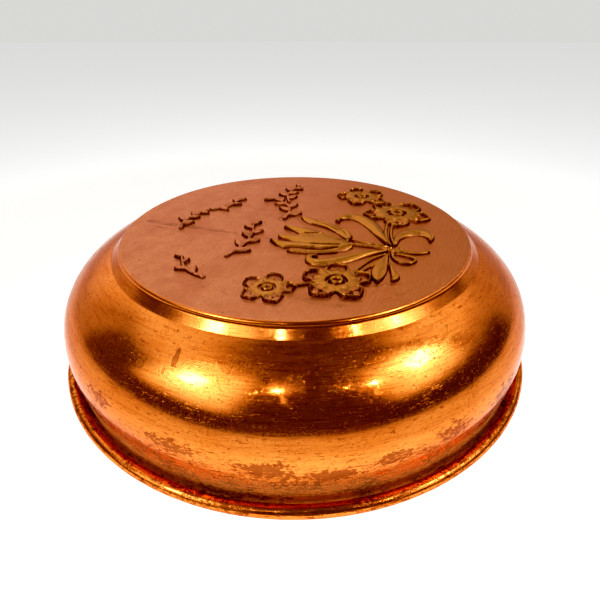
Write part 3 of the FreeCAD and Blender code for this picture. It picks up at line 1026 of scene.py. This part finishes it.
def tin_material():
    n = Nodes("wiped_tin")
    tin = tuple(finish().tin)
    cloud = n.noise(0.05, 5, 0.6, distortion=0.8)
    wiped = n.noise(1.0, 4, 0.6, n.mapped(n.mm, (0.25, 0.03, 0.2), turn=(0, 0, 0.5)))
    worn = n.times(n.ramp(n.noise(0.11, 5, 0.7), 0.58, 0.70), 0.6)
    tint = n.mix(n.ramp(cloud, 0.3, 0.7), tin, toned(tin, 0.68))
    tint = n.mix(n.times(n.ramp(wiped, 0.5, 0.75), 0.3), tint, toned(tin, 1.2))
    n.link(n.mix(worn, tint, (0.52, 0.30, 0.20)), n.shader.inputs["Base Color"])
    n.shader.inputs["Metallic"].default_value = 1.0
    n.link(n.math("MULTIPLY_ADD", n.ramp(wiped, 0.3, 0.7), 0.18, 0.34), n.shader.inputs["Roughness"])
    normal = n.bump(wiped, 0.0003, strength=0.25)
    n.link(n.bump(n.noise(0.9, 4, 0.6), 0.0001, normal, 0.3), n.shader.inputs["Normal"])
    return n.material


def dress(obj, material):
    obj.data.materials.clear()
    obj.data.materials.append(material)


# ---- studio ----

# Points added to the view's tone curve
CONTRAST = ((0.04, 0.006), (0.10, 0.058), (0.20, 0.160), (0.50, 0.53))
BACKDROP = (0.655, 0.655, 0.635, 1)
ROOM_LIGHT = (1.0, 0.985, 0.96, 1)
AMBIENT = 0.21
# Directions are from the mould, in degrees: azimuth from +X, height above level.
# Parts of the studio: azimuth, half width, lowest and highest, softness of the edge, brightness
PADS = [
    (26.5, 84, -20, 36, 12, 0.60),
    (54, 26, 10, 60, 12, 1.15),
    (34, 32, 29, 50, 4, 1.00),
    (96, 34, 40, 70, 8, 1.15),
    (-139.5, 100, -30, 22, 6, 0.115),
    (117, 14, -30, 35, 5, 0.16),
    (153.5, 23, 24, 62, 6, 1.7),
    (154.5, 14, 33, 57, 5, 2.8),
    (-34.5, 15, 32, 62, 5, 1.3),
    (-84.5, 23, 28, 60, 6, 1.7),
    (-77.5, 15, 35, 56, 5, 2.8),
    (-146.5, 27, -20, 88, 8, 0.14),
]
# Lights: name, azimuth, height, width and tallness in degrees, power for its area, colour
SOFTBOXES = [
    ("softbox_left", 152.0, 44, 12, 9, 52.0, (1.0, 0.98, 0.94)),
    ("softbox_right", -77.5, 46, 17, 8, 48.0, (1.0, 0.98, 0.94)),
    ("lamp_left", -164.5, 52, 1.8, 1.8, 560.0, (1.0, 0.93, 0.82)),
    ("lamp_right", -110.5, 48, 1.8, 1.8, 560.0, (1.0, 0.93, 0.82)),
]
LIGHT_DISTANCE = 1.5            # metres
ROUND_BELOW = 8                 # a light narrower than this, in degrees, is round


# ---- operators ----


class MOULD_OT_camera(bpy.types.Operator):
    """Set the camera in front of the mould, looking down on its base"""

    bl_idname = "mould.camera"
    bl_label = "Camera"

    def execute(self, context):
        s = studio()
        deselect()
        bpy.ops.object.camera_add(location=s.camera_place,
                                  rotation=(math.pi / 2 - s.camera_pitch, 0, s.camera_azimuth - math.pi / 2))
        camera = bpy.context.object
        camera.name = "camera"
        camera.data.lens = s.lens
        camera.data.sensor_width = 36
        camera.data.clip_start = 0.01
        context.scene.camera = camera
        return {"FINISHED"}


class MOULD_OT_stage(bpy.types.Operator):
    """Lay the pale floor, which glows brighter near the mould as painted light, and set the soft lights round
    the mould
    """

    bl_idname = "mould.stage"
    bl_label = "Stage and Lights"

    def execute(self, context):
        scene = context.scene
        scene.view_settings.view_transform = "Standard"
        scene.view_settings.use_curve_mapping = True
        contrast = scene.view_settings.curve_mapping
        for place in CONTRAST:
            contrast.curves[3].points.new(*place)
        contrast.update()
        deselect()
        bpy.ops.mesh.primitive_circle_add(vertices=96, radius=9.0, fill_type="NGON", location=(0, 0, -0.0002))
        floor = named("floor")
        n = Nodes("pale_floor")
        radius = n.radius()
        far = n.ramp(radius, 300, 430)
        n.link(n.mix(far, tuple(studio().floor), (0, 0, 0)), n.shader.inputs["Base Color"])
        n.shader.inputs["Roughness"].default_value = 0.7
        n.shader.inputs["Specular IOR Level"].default_value = 0.0
        n.shader.inputs["Emission Color"].default_value = (1, 1, 0.985, 1)
        fading = n.math("POWER", n.math("DIVIDE", 410.0, n.most(radius, 300.0)), 1.4)
        # painted light: the floor glows brighter near the mould, lifting its shadow there and the floor
        # mirrored low in the wall; far off it glows to match the backdrop
        glow = n.blend(far, n.ramp(radius, 180, 118, 0.16, 0.85), n.math("MULTIPLY_ADD", fading, 0.30, 0.675))
        n.link(glow, n.shader.inputs["Emission Strength"])
        n.link(n.bump(n.noise(0.6, 3, 0.6), 0.0002, strength=0.15), n.shader.inputs["Normal"])
        dress(floor, n.material)
        self.world(scene)
        for values in SOFTBOXES:
            self.softbox(*values)
        return {"FINISHED"}

    def softbox(self, name, azimuth, height, wide, tall, power, colour):
        """A flat light that faces the mould, its size in degrees as the mould sees it."""
        level = cosine(height)
        towards = Vector((cosine(azimuth) * level, sine(azimuth) * level, sine(height)))
        centre = (SHELL_BOX[0] + SHELL_BOX[1]) / 2
        deselect()
        bpy.ops.object.light_add(type="AREA", location=centre + towards * LIGHT_DISTANCE)
        lamp = bpy.context.object
        lamp.name = name
        lamp.rotation_euler = towards.to_track_quat("Z", "Y").to_euler()
        lamp.data.shape = "ELLIPSE" if wide < ROUND_BELOW else "RECTANGLE"
        lamp.data.size = 2 * LIGHT_DISTANCE * math.tan(math.radians(wide / 2)) * level
        lamp.data.size_y = 2 * LIGHT_DISTANCE * math.tan(math.radians(tall / 2))
        lamp.data.energy = power * lamp.data.size * lamp.data.size_y
        lamp.data.color = colour

    def world(self, scene):
        """Pale all round, with the darker room that the camera's side of the mould mirrors."""
        world = bpy.data.worlds.new("studio")
        scene.world = world
        world.use_nodes = True
        w = Wiring(world.node_tree)
        split = w.add("ShaderNodeSeparateXYZ")
        w.link(w.add("ShaderNodeTexCoord").outputs["Generated"], split.inputs[0])
        x, y, up = split.outputs
        flat = w.math("SQRT", w.most(w.math("SUBTRACT", 1.0, w.times(up, up)), 0.0001))
        level = AMBIENT
        for azimuth, half, low, high, soft, bright in PADS:
            facing = w.math("ADD", w.times(x, cosine(azimuth)), w.times(y, sine(azimuth)))
            beside = w.ramp(w.math("DIVIDE", facing, flat), cosine(half + soft), cosine(max(half - soft, 0)))
            above = w.ramp(up, sine(low - soft), sine(low + soft))
            below = w.ramp(up, sine(high - soft), sine(min(high + soft, 90)), 1, 0)
            level = w.blend(w.times(beside, w.times(above, below)), level, bright)
        shown, lit = (w.add("ShaderNodeBackground") for _ in range(2))
        shown.inputs["Color"].default_value = BACKDROP
        lit.inputs["Color"].default_value = ROOM_LIGHT
        w.link(level, lit.inputs["Strength"])
        mixed = w.add("ShaderNodeMixShader")
        w.link(w.add("ShaderNodeLightPath").outputs["Is Camera Ray"], mixed.inputs[0])
        w.link(lit.outputs[0], mixed.inputs[1])
        w.link(shown.outputs[0], mixed.inputs[2])
        w.link(mixed.outputs[0], w.add("ShaderNodeOutputWorld").inputs["Surface"])


class MOULD_OT_shell(bpy.types.Operator):
    """Spin the copper body with its rolled rim, and emboss its base"""

    bl_idname = "mould.shell"
    bl_label = "Copper Shell"

    def execute(self, context):
        s = sizes()
        rim, wire, sheet = s.rim_radius / MM, s.wire_radius / MM, s.sheet / MM
        bead = (rim - wire - sheet, wire + sheet)
        outside = ripples(surface_line(0, OUTER_COUNTS))
        inner_curl = arc_points(bead, wire, -90, CURL_END, 12)
        outer_curl = arc_points(bead, wire + sheet, CURL_END, -90, 26)
        inside = [p for p in surface_line(sheet, INNER_COUNTS) if p[1] > TOUCHING]
        outline = outside + inner_curl + outer_curl + [(inside[-1][0] + 0.9, 0.0)] + inside[::-1]
        shell = spun("copper_shell", outline)
        top = base_disc("base_top", s.base_height / MM, 1.5, 2, embossing)
        lowest, mean, steep = surroundings()
        below = base_disc("base_below", s.base_height / MM - sheet, 2.0, 1, lambda xy: between(lowest, xy))
        close_base(shell, [top, below])
        place_vertices(shell, wall_shift(vertices_of(shell)))
        mark_embossing(shell, mean, steep)
        bpy.ops.object.shade_smooth_by_angle(angle=math.radians(62))
        dress(shell, copper_material())
        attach(shell, "pan")
        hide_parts("pan_shell")
        return {"FINISHED"}


class MOULD_OT_lining(bpy.types.Operator):
    """Wipe the tin lining over the inside of the copper"""

    bl_idname = "mould.lining"
    bl_label = "Tin Lining"

    def execute(self, context):
        s = sizes()
        outer_depth = s.sheet / MM + LINING_GAP
        inner_depth = outer_depth + s.tin / MM
        foot = LINING_BOX[0].z / MM
        outer, inner = ([p for p in surface_line(depth, INNER_COUNTS) if p[1] > foot]
                        for depth in (outer_depth, inner_depth))
        outline = outer + [(outer[-1][0] - 0.02, foot), (inner[-1][0] - 0.02, foot + 0.1)] + inner[::-1]
        lining = spun("tin_lining_wiped", outline)
        lowest, _, _ = surroundings()
        top, below = (base_disc(name, s.base_height / MM - depth, 1.6, 1, lambda xy: between(lowest, xy))
                      for name, depth in (("lining_top", outer_depth), ("lining_below", inner_depth)))
        close_base(lining, [top, below])
        place_vertices(lining, wall_shift(vertices_of(lining)))
        bpy.ops.object.shade_smooth_by_angle(angle=math.radians(62))
        dress(lining, tin_material())
        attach(lining, "pan")
        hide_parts("tin_lining")
        return {"FINISHED"}


class MOULD_OT_rim_wire(bpy.types.Operator):
    """Give the wire inside the rolled rim its drawn steel finish"""

    bl_idname = "mould.rim_wire"
    bl_label = "Rim Wire"

    def execute(self, context):
        steel = metal_material("drawn_steel", (0.42, 0.41, 0.40), (0.16, 0.10, 0.07), 0.38, 0.3)
        dress(frame["nodes"]["rim_wire"], steel)
        return {"FINISHED"}


def ring_outline(half, reach, corner):
    """The D-shaped ring's centre line as points (x, y), with its straight bar on y = 0."""
    inset, bow = half - corner, reach - half
    return (line_points((-inset, 0), (inset, 0), 8)
            + arc_points((inset, corner), corner, -90, 0, 8)[1:]
            + line_points((half, corner), (half, bow), 4)[1:]
            + arc_points((0, bow), half, 0, 180, 32)[1:]
            + line_points((-half, bow), (-half, corner), 4)[1:]
            + arc_points((-inset, corner), corner, 180, 270, 8)[1:-1])


def worked_copy(node, name, bevel):
    """A CAD node's shape with its loose triangles joined and its edges rounded."""
    source = frame["nodes"][node]
    obj = bpy.data.objects.new(name, source.data.copy())
    bpy.context.scene.collection.objects.link(obj)
    merge_and_turn_out(obj, 2e-6)
    bpy.ops.object.mode_set(mode="EDIT")
    bpy.ops.mesh.select_all(action="SELECT")
    bpy.ops.mesh.dissolve_limited(angle_limit=math.radians(1))
    bpy.ops.object.mode_set(mode="OBJECT")
    rounding = obj.modifiers.new("edges", "BEVEL")
    rounding.width = bevel
    rounding.segments = 3
    rounding.limit_method = "ANGLE"
    rounding.angle_limit = math.radians(40)
    bpy.ops.object.modifier_apply(modifier=rounding.name)
    return obj


class MOULD_OT_strap(bpy.types.Operator):
    """Round the edges of the copper strap that wraps the ring's bar, and dull its copper"""

    bl_idname = "mould.strap"
    bl_label = "Ring Strap"

    def execute(self, context):
        strap = worked_copy("ring_strap", "strap_folded", 0.0001)
        bpy.ops.object.shade_smooth_by_angle(angle=math.radians(35))
        dress(strap, metal_material("dulled_copper", (0.70, 0.30, 0.13), (0.14, 0.05, 0.03), 0.34, 0.25))
        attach(strap, "pan")
        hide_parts("ring_strap")
        return {"FINISHED"}


class MOULD_OT_rivets(bpy.types.Operator):
    """Set the two hammered rivets through the strap and the wall"""

    bl_idname = "mould.rivets"
    bl_label = "Strap Rivets"

    def execute(self, context):
        rivets = worked_copy("strap_rivets", "rivets_hammered", 0.00006)
        bpy.ops.object.shade_smooth_by_angle(angle=math.radians(40))
        dress(rivets, metal_material("hammered_copper", (0.74, 0.34, 0.16), (0.12, 0.05, 0.03), 0.30, 0.6))
        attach(rivets, "pan")
        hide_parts("strap_rivets")
        return {"FINISHED"}


class MOULD_OT_ring(bpy.types.Operator):
    """Bend the brass hanging ring and lay it on the floor"""

    bl_idname = "mould.ring"
    bl_label = "Hanging Ring"

    def execute(self, context):
        wire = sizes().ring_wire
        outline = ring_outline(RING_BOX[1].x - wire, RING_REACH * MM, RING_CORNER * MM)
        tilt = math.asin((HINGE.z - wire) / (RING_REACH * MM))
        curve = bpy.data.curves.new("ring_path", "CURVE")
        curve.dimensions = "3D"
        spline = curve.splines.new("POLY")
        spline.points.add(len(outline) - 1)
        for point, (x, y) in zip(spline.points, outline):
            point.co = (x, HINGE.y + y * math.cos(tilt), HINGE.z - y * math.sin(tilt), 1)
        spline.use_cyclic_u = True
        curve.bevel_depth = wire * 0.998
        curve.bevel_resolution = 8
        ring = bpy.data.objects.new("ring_bent", curve)
        bpy.context.scene.collection.objects.link(ring)
        activate(ring)
        bpy.ops.object.convert(target="MESH")
        ring = named("ring_bent")
        merge_and_turn_out(ring)
        bpy.ops.object.shade_smooth()
        dress(ring, metal_material("aged_brass", tuple(finish().brass), (0.16, 0.10, 0.04), 0.30, 0.3))
        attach(ring, "ring")
        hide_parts("hanging_ring")
        return {"FINISHED"}


class MOULD_PT_panel(bpy.types.Panel):
    """Lists the mould's pieces"""

    bl_idname = "MOULD_PT_panel"
    bl_label = "Embossed Mould"
    bl_space_type = "VIEW_3D"
    bl_region_type = "UI"
    bl_category = "Mould"

    def draw(self, context):
        for group in (context.scene.mould_sizes, context.scene.mould_finish, context.scene.mould_studio):
            box = self.layout.box()
            for name in group.bl_rna.properties.keys():
                if name not in ("rna_type", "name"):
                    box.prop(group, name)
        for operator in OPERATORS:
            self.layout.operator(operator.bl_idname)


GROUPS = (MouldSizes, MouldFinish, MouldStudio)
OPERATORS = (MOULD_OT_camera, MOULD_OT_stage, MOULD_OT_shell, MOULD_OT_lining, MOULD_OT_rim_wire,
             MOULD_OT_strap, MOULD_OT_rivets, MOULD_OT_ring)


def register():
    for cls in (*GROUPS, *OPERATORS, MOULD_PT_panel):
        bpy.utils.register_class(cls)
    bpy.types.Scene.mould_sizes = bpy.props.PointerProperty(type=MouldSizes)
    bpy.types.Scene.mould_finish = bpy.props.PointerProperty(type=MouldFinish)
    bpy.types.Scene.mould_studio = bpy.props.PointerProperty(type=MouldStudio)


def unregister():
    del bpy.types.Scene.mould_studio
    del bpy.types.Scene.mould_finish
    del bpy.types.Scene.mould_sizes
    for cls in reversed((*GROUPS, *OPERATORS, MOULD_PT_panel)):
        bpy.utils.unregister_class(cls)


def main():
    register()
    bpy.ops.mould.camera()
    bpy.ops.mould.stage()
    bpy.ops.mould.shell()
    bpy.ops.mould.lining()
    bpy.ops.mould.rim_wire()
    bpy.ops.mould.strap()
    bpy.ops.mould.rivets()
    bpy.ops.mould.ring()
    deselect()


if __name__ == "__main__":
    main()
